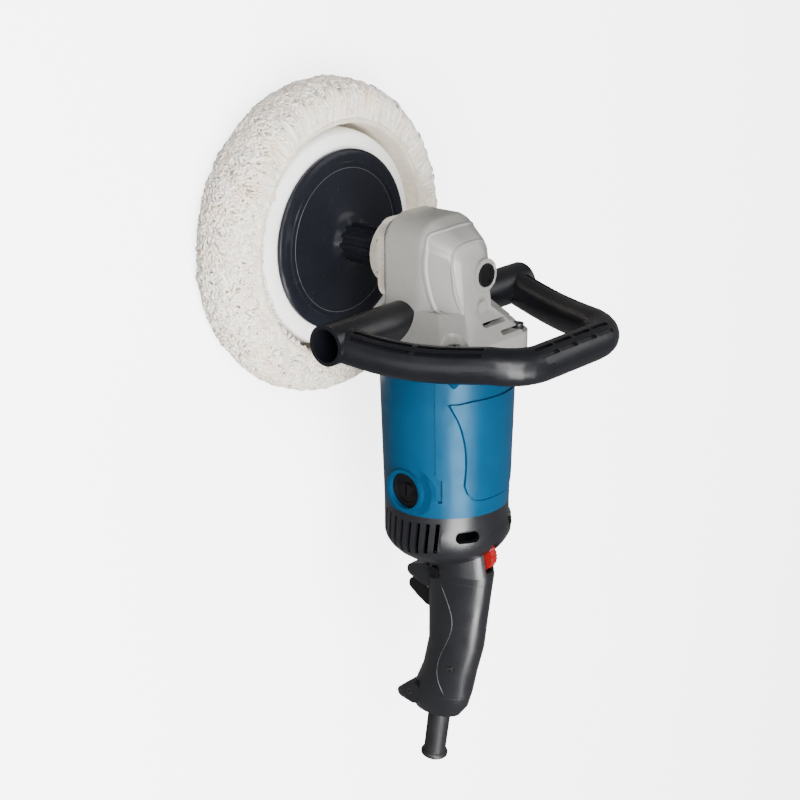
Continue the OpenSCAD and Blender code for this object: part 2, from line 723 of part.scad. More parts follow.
module brush_caps() {
    color([0.07, 0.07, 0.08]) mirror_y() difference() {
        union() {
            along_y([brush_x, 42.9, barrel_z]) ring(13.2, 10, 2.2);
            along_y([brush_x, 42.9, barrel_z]) cylinder(r = 10.4, h = 1.2, $fn = fine);
            along_y([brush_x, 43, barrel_z]) cylinder(r = 5.4, h = 3.4, $fn = fine);
        }
        translate([brush_x - 6, 44.6, barrel_z - 0.9]) cube([12, 3, 1.8]);
    }
}

// ---------- rear body and handle ----------
// Thin slice of the grip at one station
module grip_slice(s, t) {
    translate([s[0], 0, s[1]]) rotate([0, 90, 0]) linear_extrude(0.2)
        scale([s[3] - t, s[2] - t]) circle(r = 1, $fn = 44);
}

module grip_solid(t) {
    for (i = [0:len(grip) - 2]) hull() { grip_slice(grip[i], t); grip_slice(grip[i + 1], t); }
}

module bell_solid(t) {
    barrel_turn([[0, seam_x], [barrel_r - t, seam_x], [barrel_r - t, 203],
        [barrel_r - 1.2 - t, 207], [barrel_r - 3.6 - t, 211], [barrel_r - 8 - t, 215.5],
        [barrel_r - 14 - t, 219.6], [barrel_r - 20 - t, 222.6 - t / 2], [barrel_r - 26 - t, 224.4 - t],
        [0, 225 - t]], t > 0 ? fine : smooth);
}

// Side view of the cover: its lower edge is an S curve
module cover_region() {
    edge = [for (x = [238:5:338]) [x, 155.5 + 7 * sin(4 * (x - 248))]];
    translate([0, 40, 0]) rotate([90, 0, 0]) linear_extrude(80)
        polygon(concat(edge, [[338, 200], [238, 200]]));
}

module finger_guard() {
    hull() {
        along_y([244, -7, 116]) cylinder(r = 5, h = 14, $fn = 32);
        along_y([242, -11, 132]) cylinder(r = 9, h = 22, $fn = 32);
    }
}

module hook() {
    hull() {
        along_y([348.5, -11, 108.5]) cylinder(r = 4.6, h = 22, $fn = 32);
        along_y([343, -15, 122]) cylinder(r = 9, h = 30, $fn = 32);
    }
}

module handle_shell() {
    difference() {
        union() {
            bell_solid(0);
            grip_solid(0);
            finger_guard();
            hook();
            // raised collar over the top of the bell
            intersection() {
                barrel_turn([[40, 187], [barrel_r, 188], [barrel_r + 1.8, 192], [barrel_r + 2.2, 197],
                    [barrel_r + 1.4, 203], [barrel_r - 2, 209], [36, 209]]);
                translate([180, -44, barrel_z + 27]) cube([40, 88, 40]);
            }
        }
        bell_solid(shell_t);
        intersection() {
            grip_solid(shell_t);
            translate([195, -50, 90]) cube([155, 100, 110]);
        }
        translate([0, 0, barrel_z]) rotate([0, 90, 0]) cylinder(r = 26, h = 214, $fn = fine);
    }
    // posts that the cord clamp is screwed down on
    for (s = [-1, 1]) translate([clamp_x, s * clamp_screw_y, clamp_z - 6.1]) difference() {
        cylinder(r = 3.2, h = 6.1, $fn = 20);
        translate([0, 0, -1]) cylinder(r = 1.7, h = 9, $fn = 20);
    }
}

module handle_cuts() {
    // air inlet slots on both sides of the bell, leaning backwards
    mirror_y() for (k = [0:7]) translate([0, 0, barrel_z]) rotate([30 - 9.2 * k, 0, 0])
        translate([197 - abs(k - 3.5) * 0.5, 30, 0]) rotate([0, 6, 0]) translate([-13, 0, -1.5])
            cube([26 - abs(k - 3.5) * 0.8, 30, 3]);
    // oval openings left and right of the collar
    mirror_y() translate([193, 0, barrel_z]) rotate([58, 0, 0]) {
        for (z = [-5, 5]) along_y([0, 38, z]) cylinder(r = 4, h = 14, $fn = fine);
        translate([-4, 38, -5]) cube([8, 14, 10]);
    }
    // trigger and finger space
    translate([247, -6.6, 100]) cube([25, 13.2, 40]);
    along_y([252.5, -8.2, 133]) cylinder(r = 1.55, h = 16.4, $fn = fine);
    // lock-on button, the speed dial and its bearing posts
    along_y([234, -40, 146]) cylinder(r = 5.2, h = 40, $fn = fine);
    translate([203.5, -4, 170]) cube([25, 8, 30]);
    translate([211.5, -6.8, 165]) cube([9, 13.6, 16]);
    // side screw holes
    along_y([311, -40, 160]) cylinder(r = 2.6, h = 40, $fn = fine);
    along_y([343, -40, 119]) cylinder(r = 2.6, h = 40, $fn = fine);
    // cord guard and its collar
    translate([guard_at[0], 0, guard_at[1]]) rotate([0, 90 + guard_tilt, 0]) {
        translate([0, 0, -20]) cylinder(r = 9, h = 40, $fn = fine);
        translate([0, 0, -20]) cylinder(r = 10.8, h = 15.2, $fn = fine);
    }
}

module rear_body() {
    color([0.17, 0.175, 0.19]) difference() {
        handle_shell();
        cover_region();
        handle_cuts();
    }
}

module handle_cover() {
    color([0.15, 0.155, 0.17]) difference() {
        intersection() { handle_shell(); cover_region(); }
        handle_cuts();
    }
}

module handle_screws() {
    color([0.1, 0.1, 0.11]) {
        translate([311, -14.6, 160]) rotate([90, 0, 0]) pan_screw(1.6, 22, 2.5, 1.6);
        translate([343, -13.4, 119]) rotate([90, 0, 0]) pan_screw(1.6, 16, 2.5, 1.6);
    }
}

module switch_body() {
    color([0.10, 0.10, 0.11]) difference() {
        translate([246, -10, 141]) cube([42, 20, 24]);
        translate([262, -3, 140]) cube([6, 6, 3.5]);
    }
}

module trigger() {
    color([0.05, 0.05, 0.06]) difference() {
        translate([0, 6.2, 0]) rotate([90, 0, 0]) linear_extrude(12.4) polygon(concat(
            [[249, 136], [249.6, 121]],
            [for (a = [190:12:300]) [256 + 6 * cos(a), 118 + 6 * sin(a)]],
            [[264, 120], [269, 129], [270, 136]]));
        along_y([252.5, -10, 133]) cylinder(r = 1.55, h = 20, $fn = fine);
    }
}

module trigger_pin() {
    color([0.7, 0.7, 0.71]) along_y([252.5, -8, 133]) cylinder(r = 1.5, h = 16, $fn = fine);
}

module trigger_spring() {
    color([0.6, 0.6, 0.62]) translate([266, 0, 136.3]) coil(2.2, 0.3, 3, 4.4);
}

module lock_on_button() {
    color([0.08, 0.08, 0.09]) along_y([234, -18.6, 146]) difference() {
        cylinder(r = 4.8, h = 14, $fn = fine);
        translate([0, 0, -0.1]) cylinder(r = 3.2, h = 0.7, $fn = fine);
    }
}

module lock_on_spring() {
    color([0.6, 0.6, 0.62]) along_y([234, -4.5, 146]) coil(3, 0.4, 6, 17.5);
}

module speed_dial() {
    notches = 24;
    color([0.78, 0.06, 0.05]) difference() {
        along_y([216, -3.2, 178.5]) cylinder(r = 11, h = 6.4, $fn = fine);
        along_y([216, -5, 178.5]) cylinder(r = 1.55, h = 10, $fn = fine);
        for (k = [0:notches - 1]) along_y([216, -5, 178.5]) rotate([0, 0, 360 * k / notches])
            translate([11.3, 0, 0]) cylinder(r = 0.8, h = 10, $fn = 16);
    }
}

module speed_module() {
    color([0.20, 0.32, 0.22]) {
        translate([200, -11, 156]) cube([32, 22, 9]);
        for (s = [-1, 1]) translate([212, s * 5.2 - 1.2, 165 - eps]) cube([8, 2.4, 15.6]);
        along_y([216, -6.4, 178.5]) cylinder(r = 1.5, h = 12.8, $fn = fine);
    }
}

module cord_clamp() {
    color([0.13, 0.13, 0.14]) difference() {
        translate([clamp_x - 4.5, -9.8, clamp_z]) cube([9, 19.6, 6]);
        for (s = [-1, 1]) translate([clamp_x, s * clamp_screw_y, clamp_z - 2])
            cylinder(r = 1.7, h = 12, $fn = fine);
    }
}

module clamp_screws() {
    color([0.6, 0.6, 0.62]) for (s = [-1, 1]) translate([clamp_x, s * clamp_screw_y, clamp_z + 6.1])
        pan_screw(1.6, 9, 2.8, 1.8);
}

module cord_guard() {
    color([0.07, 0.07, 0.08]) translate([guard_at[0], 0, guard_at[1]]) rotate([0, 90 + guard_tilt, 0])
        difference() {
            union() {
                translate([0, 0, -9]) cylinder(r = 10.6, h = 4, $fn = fine);
                translate([0, 0, -8]) cylinder(r1 = 8.8, r2 = 8.5, h = guard_len + 5, $fn = fine);
                translate([0, 0, guard_len - 4]) cylinder(r1 = 9.4, r2 = 10.4, h = 1.6, $fn = fine);
                translate([0, 0, guard_len - 2.4]) cylinder(r = 10.4, h = 2.4, $fn = fine);
            }
            translate([0, 0, -20]) cylinder(r = cord_hole_r, h = guard_len + 40, $fn = fine);
        }
}

// ---------- loop handle ----------
arm_lean = atan((loop_half_w - 12 - 52) / (bar_z - hub_z));
corner_y = 52;
tangent = loop_bend * tan((90 - arm_lean) / 2);
loop_tilt = 2.9;
arm_bow = [4.5, 4];      // how far the middle of an arm stands back and out

// Everything in the loop's own plane: local y across, local z up
module loop_frame() {
    translate([40, 0, hub_z]) rotate([0, loop_tilt, 0]) children();
}

// Centre line in the loop's frame, [x, y, z]: arms that bow outwards and backwards, round corners
function arm_point(t) = let (foot = [loop_half_w - 12, 0], top = corner_point(arm_lean), bow = sin(180 * t))
    [arm_bow[0] * bow, foot[0] + (top[1] - foot[0]) * t + arm_bow[1] * bow, top[2] * t];
function corner_point(a) =
    [0, corner_y - tangent + loop_bend * cos(a), bar_z - hub_z - loop_bend + loop_bend * sin(a)];
half_path = concat([for (i = [0:6]) arm_point(i / 7)],
    [for (i = [0:6]) corner_point(arm_lean + (90 - arm_lean) * i / 6)]);
loop_path = concat(half_path,
    [for (i = [len(half_path) - 1:-1:0]) [half_path[i][0], -half_path[i][1], half_path[i][2]]]);

module loop_bar(r) {
    for (i = [0:len(loop_path) - 2]) hull() for (p = [loop_path[i], loop_path[i + 1]])
        translate(p) sphere(r = r, $fn = 28);
}

// Thin block in the bar's surface at path point p, turned by angle from the face towards the head
// to the outside of the loop, whose direction in the loop's plane is out
module slot_end(p, out, angle) {
    radial = [-cos(angle), out[0] * sin(angle), out[1] * sin(angle)];
    along = [0, -out[1], out[0]];
    across = cross(along, radial);
    multmatrix([for (k = [0:2]) [radial[k], across[k], along[k], p[k]]])
        translate([loop_r - 2.4, -1.5, -0.3]) cube([6, 3, 0.6]);
}

// Slot from a to b, shares of the way along one arm
module arm_slot(a, b, angle) {
    steps = 3;
    out = [cos(arm_lean), sin(arm_lean)];
    for (i = [0:steps - 1]) hull() for (k = [i, i + 1])
        slot_end(arm_point(a + (b - a) * k / steps), out, angle);
}

module loop_handle() {
    color([0.13, 0.135, 0.15]) difference() {
        union() {
            mirror_y() along_y([40, hub_seat + 0.1, hub_z])
                cylinder(r = hub_r, h = loop_half_w - hub_seat - 0.1, $fn = smooth);
            loop_frame() loop_bar(loop_r);
        }
        mirror_y() {
            along_y([40, 34, hub_z]) cylinder(r = 11.7, h = 80, $fn = smooth);
            along_y([40, 20, hub_z]) cylinder(r = 4.3, h = 80, $fn = fine);
        }
        // two rows of lightening slots, turned outwards from the face towards the head
        loop_frame() mirror_y() for (angle = [12, 42]) {
            arm_slot(0.13, 0.53, angle);
            arm_slot(0.57, 0.97, angle);
            for (y = [[2, 20], [23, 41]]) hull() for (k = y)
                slot_end([0, k, bar_z - hub_z], [0, 1], angle);
        }
    }
}

module loop_bolts() {
    color([0.55, 0.55, 0.56]) mirror_y() translate([40, 35.7, hub_z]) rotate([-90, 0, 0])
        cap_screw(3.9, 14, 6.4, 7);
}

module loop_washers() {
    color([0.7, 0.7, 0.71]) mirror_y() along_y([40, 34.05, hub_z]) ring(8, 4.1, 1.6);
}

wool_pile();
bonnet_backing();
foam_disc();
backing_plate();
plate_insert();
spindle_shaft();
crown_gear();
crown_retainer();
bearing_box();
bearing_box_screws();
felt_seal();
spindle_bearing();
upper_bush();
gear_housing();
lock_button();
lock_pin();
lock_spring();
bevel_pinion();
layshaft();
layshaft_gear();
layshaft_bush();
layshaft_bearing();
gear_plate();
gearcase_screws();
armature_front_bearing();
armature_shaft();
armature_pinion();
armature_core();
armature_windings();
commutator();
fan();
armature_rear_bearing();
fan_baffle();
stator_core();
field_coils();
stator_screws();
motor_housing();
brush_holders();
carbon_brushes();
brush_springs();
brush_caps();
rear_body();
handle_cover();
handle_screws();
switch_body();
trigger();
trigger_pin();
trigger_spring();
lock_on_button();
lock_on_spring();
speed_dial();
speed_module();
cord_clamp();
clamp_screws();
cord_guard();
loop_handle();
loop_bolts();
loop_washers();
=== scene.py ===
import math
import random

import bpy
import numpy as np
from mathutils import Matrix, Vector, noise


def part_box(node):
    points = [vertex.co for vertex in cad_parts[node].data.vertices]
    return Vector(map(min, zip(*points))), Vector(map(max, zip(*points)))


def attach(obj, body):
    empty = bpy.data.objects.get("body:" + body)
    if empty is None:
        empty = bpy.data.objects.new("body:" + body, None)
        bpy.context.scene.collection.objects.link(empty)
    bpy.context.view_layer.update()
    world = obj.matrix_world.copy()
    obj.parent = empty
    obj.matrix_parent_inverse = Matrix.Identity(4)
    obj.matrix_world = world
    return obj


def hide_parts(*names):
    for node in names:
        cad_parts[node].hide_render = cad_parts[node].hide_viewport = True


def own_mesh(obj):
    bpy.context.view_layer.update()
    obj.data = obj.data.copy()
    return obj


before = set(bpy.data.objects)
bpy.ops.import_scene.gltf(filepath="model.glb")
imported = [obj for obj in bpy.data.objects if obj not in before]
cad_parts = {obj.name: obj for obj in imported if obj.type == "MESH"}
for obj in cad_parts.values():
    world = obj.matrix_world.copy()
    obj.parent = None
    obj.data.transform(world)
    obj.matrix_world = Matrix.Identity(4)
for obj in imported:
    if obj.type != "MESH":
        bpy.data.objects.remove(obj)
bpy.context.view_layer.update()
random.seed(7)
rng = np.random.default_rng(7)

MM = 0.001
WOOL_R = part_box("wool_pile")[1].x
WOOL_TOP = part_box("wool_pile")[1].z
LIP_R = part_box("bonnet_backing")[1].x
FOAM_LOW, FOAM_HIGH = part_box("foam_disc")
PLATE_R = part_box("backing_plate")[1].x
CORE_R = 2 * MM                     # turned profiles leave this radius open at the axis
FLOOR_DROP = 0.2 * MM               # the white floor lies this far below z = 0, the pad's working face
SHARP_EDGE = math.radians(38)
DOWN = Vector((0, 0, -1))


# ---------- camera, floor and light ----------
def add_camera():
    """The photographed view: from the head side and above, turned so the handle hangs down."""
    place = (-0.3179, -0.9408, 0.9167)
    focal_length, sensor = 79.9, 36
    turn, tone_and_shade, roll = math.radians(41.0), math.radians(19.1), math.radians(0.4)
    right = Vector((0, math.sin(turn), math.cos(turn)))
    up = Vector((-math.cos(tone_and_shade), math.cos(turn) * math.sin(tone_and_shade), -math.sin(turn) * math.sin(tone_and_shade)))
    back = right.cross(up)
    right, up = (right * math.cos(roll) - up * math.sin(roll),
                 up * math.cos(roll) + right * math.sin(roll))
    data = bpy.data.cameras.new("camera")
    data.sensor_width = sensor
    data.lens = focal_length
    camera = bpy.data.objects.new("camera", data)
    camera.matrix_world = Matrix.Translation(place) @ Matrix((right, up, back)).transposed().to_4x4()
    bpy.context.scene.collection.objects.link(camera)
    bpy.context.scene.camera = camera


def add_light(name, place, size, power, depth=None):
    """Soft lamp aimed at the polisher; depth makes it a strip that is size long and depth wide."""
    target = Vector((0.12, 0, 0.12))
    data = bpy.data.lights.new(name, "AREA")
    data.energy = power
    data.shape = "RECTANGLE"
    data.size = size
    data.size_y = depth or size
    light = bpy.data.objects.new(name, data)
    light.location = place
    light.rotation_euler = (target - Vector(place)).to_track_quat("-Z", "Y").to_euler()
    bpy.context.scene.collection.objects.link(light)


def add_stage():
    """White floor that the polisher neither mirrors nor takes light from, under an even white sky."""
    reach = 40.0
    floor_glow, sky_glow = 3.2, 0.26
    mesh = bpy.data.meshes.new("floor")
    mesh.from_pydata([(-reach, -reach, 0), (reach, -reach, 0), (reach, reach, 0), (-reach, reach, 0)],
                     [], [(0, 1, 2, 3)])
    floor = bpy.data.objects.new("floor", mesh)
    floor.location.z = -FLOOR_DROP
    bpy.context.scene.collection.objects.link(floor)
    paint = Look("floor", (0.95, 0.95, 0.95), 0.7, Emission_Color=(1, 1, 1, 1),
                 Emission_Strength=floor_glow)
    paint.colour_noise(2.0, 0.01)
    mesh.materials.append(paint.mat)
    floor.visible_diffuse = floor.visible_glossy = False
    world = bpy.data.worlds.new("studio")
    world.use_nodes = True
    sky = world.node_tree.nodes["Background"]
    sky.inputs["Color"].default_value = (1, 1, 1, 1)
    sky.inputs["Strength"].default_value = sky_glow
    bpy.context.scene.world = world


# ---------- materials ----------
class Look:
    """A Principled material, with short calls that add procedural detail in object space."""

    NOISE_ROUGHNESS = 0.6

    def __init__(self, name, colour, rough, metal=0.0, **sockets):
        self.mat = bpy.data.materials.new(name)
        self.mat.use_nodes = True
        self.tree = self.mat.node_tree
        self.bsdf = self.tree.nodes["Principled BSDF"]
        self.colour, self.rough = colour, rough
        self.put(self.bsdf, "Base Color", (*colour, 1))
        self.put(self.bsdf, "Roughness", rough)
        self.put(self.bsdf, "Metallic", metal)
        for key, value in sockets.items():
            self.put(self.bsdf, key.replace("_", " "), value)
        self.space = self.tree.nodes.new("ShaderNodeTexCoord").outputs["Object"]
        self.normal = None

    @staticmethod
    def put(node, socket, value):
        node.inputs[socket].default_value = value

    def link(self, a, b):
        self.tree.links.new(a, b)

    def noise(self, scale, detail=4.0, stretch=(1, 1, 1)):
        mapping = self.tree.nodes.new("ShaderNodeMapping")
        self.put(mapping, "Scale", stretch)
        self.link(self.space, mapping.inputs["Vector"])
        tex = self.tree.nodes.new("ShaderNodeTexNoise")
        self.put(tex, "Scale", scale)
        self.put(tex, "Detail", detail)
        self.put(tex, "Roughness", self.NOISE_ROUGHNESS)
        self.link(mapping.outputs["Vector"], tex.inputs["Vector"])
        return tex.outputs["Fac"]

    def cells(self, scale):
        tex = self.tree.nodes.new("ShaderNodeTexVoronoi")
        self.put(tex, "Scale", scale)
        self.link(self.space, tex.inputs["Vector"])
        return tex.outputs["Distance"]

    def attribute(self, name):
        """A value stored on the mesh's points."""
        node = self.tree.nodes.new("ShaderNodeAttribute")
        node.attribute_name = name
        return node.outputs["Fac"]

    def remap(self, value, low, high, start=0.3, end=0.7):
        """Stretches start..end to low..high."""
        node = self.tree.nodes.new("ShaderNodeMapRange")
        self.put(node, "From Min", start)
        self.put(node, "From Max", end)
        self.put(node, "To Min", low)
        self.put(node, "To Max", high)
        self.link(value, node.inputs["Value"])
        return node.outputs["Result"]

    def mix(self, factor, a, b):
        """Colour mix; a and b are sockets or plain colours."""
        node = self.tree.nodes.new("ShaderNodeMix")
        node.data_type = "RGBA"
        self.link(factor, node.inputs["Factor"])
        for socket, value in ((node.inputs[6], a), (node.inputs[7], b)):
            if isinstance(value, tuple):
                socket.default_value = (*value, 1)
            else:
                self.link(value, socket)
        return node.outputs[2]

    def paint(self, socket):
        self.link(socket, self.bsdf.inputs["Base Color"])

    def colour_noise(self, scale, spread):
        """Patches a share of spread darker and lighter than the colour."""
        dark = tuple(c * (1 - spread) for c in self.colour)
        light = tuple(min(1, c * (1 + spread)) for c in self.colour)
        self.paint(self.mix(self.remap(self.noise(scale), 0, 1), dark, light))

    def rough_noise(self, scale, spread, stretch=(1, 1, 1)):
        """Patches by spread smoother and rougher than the material."""
        low, high = max(0.02, self.rough - spread), min(1, self.rough + spread)
        patches = self.noise(scale, 3.0, stretch=stretch)
        self.link(self.remap(patches, low, high), self.bsdf.inputs["Roughness"])

    def bump(self, height, strength, distance):
        """Relief on top of any that was added before; distance in metres."""
        node = self.tree.nodes.new("ShaderNodeBump")
        self.put(node, "Strength", strength)
        self.put(node, "Distance", distance)
        self.link(height, node.inputs["Height"])
        if self.normal is not None:
            self.link(self.normal, node.inputs["Normal"])
        self.normal = node.outputs["Normal"]
        self.link(self.normal, self.bsdf.inputs["Normal"])


def moulded_plastic(name, colour, rough, grain=1500, **sockets):
    """Spark-eroded mould texture, faint flow marks and rubbed patches."""
    grain_depth, flow_depth = 0.06 * MM, 0.6 * MM
    look = Look(name, colour, rough, **sockets)
    look.colour_noise(35, 0.07)
    look.rough_noise(60, 0.05)
    look.bump(look.noise(grain, 3), 0.16, grain_depth)
    look.bump(look.noise(25, 2), 0.12, flow_depth)
    return look.mat


def cast_paint():
    """Grey enamel over a die casting: orange peel, specks and a little grime."""
    dark, light, grime = (0.205, 0.200, 0.188), (0.238, 0.234, 0.220), (0.186, 0.182, 0.174)
    look = Look("cast_paint", (0.225, 0.22, 0.207), 0.40, Specular_IOR_Level=0.5, Coat_Weight=0.25,
                Coat_Roughness=0.25)
    body = look.mix(look.remap(look.noise(18, 3), 0, 1), dark, light)
    specks = look.remap(look.cells(900), 1, 0, 0.02, 0.12)
    look.paint(look.mix(look.remap(look.noise(240, 2), 0, 0.35, 0.5, 0.75), body, grime))
    look.rough_noise(120, 0.09)
    look.bump(look.noise(420, 3), 0.25, 0.00018)
    look.bump(specks, 0.10, 0.0001)
    return look.mat


def turned_metal(name, colour, rough):
    """Lathe-turned surface: fine rings round the Z axis, small scratches."""
    rings = (1, 1, 40)
    look = Look(name, colour, rough, metal=1.0)
    look.colour_noise(50, 0.06)
    look.rough_noise(90, 0.08, stretch=rings)
    look.bump(look.noise(160, 2, stretch=rings), 0.18, 0.0001)
    look.bump(look.noise(700, 4), 0.10, 0.00006)
    return look.mat


def worked_metal(name, colour, rough, metal=1.0):
    """Ground, cut or pressed surface without a direction."""
    look = Look(name, colour, rough, metal=metal)
    look.colour_noise(70, 0.10)
    look.rough_noise(140, 0.10)
    look.bump(look.noise(500, 4), 0.15, 0.0001)
    return look.mat


def soft_rubber(name, colour):
    """Matt rubber or felt with a fine grain."""
    look = Look(name, colour, 0.50, Specular_IOR_Level=0.45)
    look.colour_noise(60, 0.12)
    look.rough_noise(80, 0.1)
    look.bump(look.noise(900, 4), 0.4, 0.00012)
    return look.mat


def wool_look():
    """Twisted wool yarn: beige, pinkish and grey strands, soft sheen and fibre bump, with painted shade
    that darkens the yarn towards its roots.
    """
    look = Look("wool", (0.70, 0.66, 0.61), 0.95, Sheen_Weight=0.3, Sheen_Roughness=0.5,
                Specular_IOR_Level=0.12, Subsurface_Weight=0.15, Subsurface_Scale=0.004)
    # roots is painted shade: the dark colour the yarn is given near its roots and on the base between tufts
    beige, cream, roots = (0.80, 0.69, 0.59), (0.94, 0.865, 0.775), (0.50, 0.41, 0.345)
    pinkish, greyish = (0.82, 0.63, 0.47), (0.72, 0.665, 0.63)
    tone_and_shade, tint = look.attribute("tone_and_shade"), look.attribute("tint")
    yarn = look.mix(look.remap(tint, 0, 1, 0.1, 0.9), beige, cream)
    yarn = look.mix(look.remap(look.noise(60, 3), 0, 0.8, 0.50, 0.68), yarn, pinkish)
    yarn = look.mix(look.remap(look.noise(34, 2), 0, 0.5, 0.55, 0.8), yarn, greyish)
    # Painted shade: where the yarn's per-point value is low (at the roots, on the edges of the combed locks
    # and over the whole base) it takes the roots colour
    look.paint(look.mix(look.remap(tone_and_shade, 0, 1, 0, 0.7), roots, yarn))
    look.bump(look.noise(1400, 3, stretch=(1, 1, 0.35)), 0.6, 0.0004)
    return look.mat


def foam_look():
    """White open-cell foam: small pores and soft dents."""
    look = Look("foam", (0.90, 0.895, 0.875), 0.85, Sheen_Weight=0.25, Specular_IOR_Level=0.25,
                Subsurface_Weight=0.1, Subsurface_Scale=0.003)
    look.colour_noise(30, 0.05)
    look.bump(look.cells(900), 0.55, 0.0004)
    look.bump(look.noise(60, 4), 0.3, 0.001)
    return look.mat


def cloth_look():
    """Woven backing cloth: two crossed sets of fine threads."""
    look = Look("backing_cloth", (0.70, 0.63, 0.52), 0.88, Sheen_Weight=0.3, Specular_IOR_Level=0.25)
    threads, unevenness = 190, 0.6
    look.colour_noise(220, 0.12)
    for turn in (0, math.pi / 2):
        wave = look.tree.nodes.new("ShaderNodeTexWave")
        look.put(wave, "Scale", threads)
        look.put(wave, "Distortion", unevenness)
        mapping = look.tree.nodes.new("ShaderNodeMapping")
        look.put(mapping, "Rotation", (0, turn * 0.6, turn))
        look.link(look.space, mapping.inputs["Vector"])
        look.link(mapping.outputs["Vector"], wave.inputs["Vector"])
        look.bump(wave.outputs["Fac"], 0.4, 0.0004)
    return look.mat


def glossy_plate():
    """Backing plate: semi-gloss moulded plastic, slightly uneven in tone and surface."""
    look = Look("plate_plastic", (0.008, 0.0088, 0.012), 0.24, Specular_IOR_Level=0.13)
    look.rough_noise(45, 0.05)
    look.colour_noise(30, 0.10)
    look.bump(look.noise(300, 3), 0.05, 0.00012)
    look.bump(look.noise(1600, 2), 0.06, 0.00004)
    return look.mat


LOOKS = {}


def make_looks():
    """Fills LOOKS: a short name for every material."""
    LOOKS.update(
        plate=glossy_plate(),
        casting=cast_paint(),
        blue=moulded_plastic("blue_shell", (0.001, 0.036, 0.085), 0.38, Specular_IOR_Level=0.42,
                             Specular_Tint=(0.30, 0.68, 1.0, 1)),
        grey=moulded_plastic("grey_shell", (0.0062, 0.0064, 0.008), 0.32, Specular_IOR_Level=0.55),
        loop=moulded_plastic("loop_plastic", (0.0030, 0.0032, 0.0048), 0.37, Specular_IOR_Level=0.38),
        black=moulded_plastic("black_plastic", (0.003, 0.003, 0.0035), 0.36, Specular_IOR_Level=0.28),
        red=moulded_plastic("red_dial", (0.21, 0.0015, 0.0015), 0.30, grain=900),
        # Lighter grey than the shells and the plate: a painted highlight along the raised parting lines and
        # the plate's ring line
        seam=moulded_plastic("seam_line", (0.045, 0.046, 0.050), 0.30, Specular_IOR_Level=0.6),
        rubber=soft_rubber("black_rubber", (0.005, 0.005, 0.006)),
        turned=turned_metal("turned_aluminium", (0.52, 0.515, 0.51), 0.20),
        alloy=worked_metal("cast_aluminium", (0.60, 0.60, 0.59), 0.45),
        steel=worked_metal("ground_steel", (0.58, 0.58, 0.59), 0.28),
        dark=worked_metal("black_oxide", (0.10, 0.10, 0.105), 0.45),
        gear=worked_metal("cut_steel", (0.36, 0.36, 0.37), 0.34),
        bronze=worked_metal("sintered_bronze", (0.50, 0.33, 0.13), 0.42),
        copper=worked_metal("enamelled_copper", (0.56, 0.22, 0.08), 0.33),
        brass=worked_metal("pressed_brass", (0.60, 0.44, 0.16), 0.32),
        carbon=worked_metal("carbon", (0.03, 0.03, 0.032), 0.6, metal=0.0),
        felt=soft_rubber("felt", (0.22, 0.20, 0.18)),
        circuit=moulded_plastic("potting", (0.004, 0.007, 0.006), 0.5),
        wool=wool_look(),
        foam=foam_look(),
        cloth=cloth_look(),
    )


NODE_LOOKS = {
    "plate": ["backing_plate"],
    "casting": ["gear_housing"],
    "blue": ["motor_housing"],
    "grey": ["rear_body", "handle_cover"],
    "loop": ["loop_handle"],
    "black": ["lock_button", "fan", "fan_baffle", "brush_caps", "switch_body", "trigger",
              "lock_on_button", "cord_clamp"],
    "red": ["speed_dial"],
    "rubber": ["cord_guard"],
    "turned": ["bearing_box"],
    "alloy": ["gear_plate"],
    "steel": ["plate_insert", "spindle_shaft", "spindle_bearing", "lock_pin", "lock_spring", "layshaft",
              "layshaft_bearing", "armature_front_bearing", "armature_shaft", "armature_rear_bearing",
              "brush_springs", "trigger_pin", "trigger_spring", "lock_on_spring", "clamp_screws",
              "loop_bolts", "loop_washers"],
    "dark": ["crown_retainer", "bearing_box_screws", "gearcase_screws", "armature_core", "stator_core",
             "stator_screws", "handle_screws"],
    "gear": ["crown_gear", "bevel_pinion", "layshaft_gear", "armature_pinion"],
    "bronze": ["upper_bush", "layshaft_bush"],
    "copper": ["armature_windings", "commutator", "field_coils"],
    "brass": ["brush_holders"],
    "carbon": ["carbon_brushes"],
    "felt": ["felt_seal"],
    "circuit": ["speed_module"],
    "wool": ["wool_pile"],
    "foam": ["foam_disc"],
    "cloth": ["bonnet_backing"],
}


# Edge rounding in mm, for the nodes whose edges show
BEVELS = {
    "gear_housing": 0.9, "motor_housing": 0.6, "loop_handle": 0.6, "backing_plate": 0.5,
    "bearing_box": 0.5, "lock_button": 0.6, "trigger": 1.0, "brush_caps": 0.5,
    "cord_guard": 0.6, "speed_dial": 0.4, "lock_on_button": 0.5,
}


def dress_nodes():
    """Every CAD node gets its material, joined shading and softened edges."""
    for look, names in NODE_LOOKS.items():
        for name in names:
            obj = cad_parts[name]
            obj.data.materials.clear()
            obj.data.materials.append(LOOKS[look])
            soften(obj)


def soften(obj):
    """Smooth shading up to the sharp edges, with small bevels where BEVELS names the node."""
    mesh = obj.data
    if "custom_normal" in mesh.attributes:
        mesh.attributes.remove(mesh.attributes["custom_normal"])
    mesh.shade_smooth()
    weld = obj.modifiers.new("weld", "WELD")
    weld.merge_threshold = 0.02 * MM
    if obj.name in BEVELS:
        bevel = obj.modifiers.new("bevel", "BEVEL")
        bevel.width = BEVELS[obj.name] * MM
        bevel.segments = 3
        bevel.limit_method = "ANGLE"
        bevel.angle_limit = SHARP_EDGE
        bevel.use_clamp_overlap = True
        bevel.harden_normals = True
    split = obj.modifiers.new("split", "EDGE_SPLIT")
    split.split_angle = SHARP_EDGE
    normals = obj.modifiers.new("normals", "WEIGHTED_NORMAL")
    normals.weight = 90
    normals.keep_sharp = True


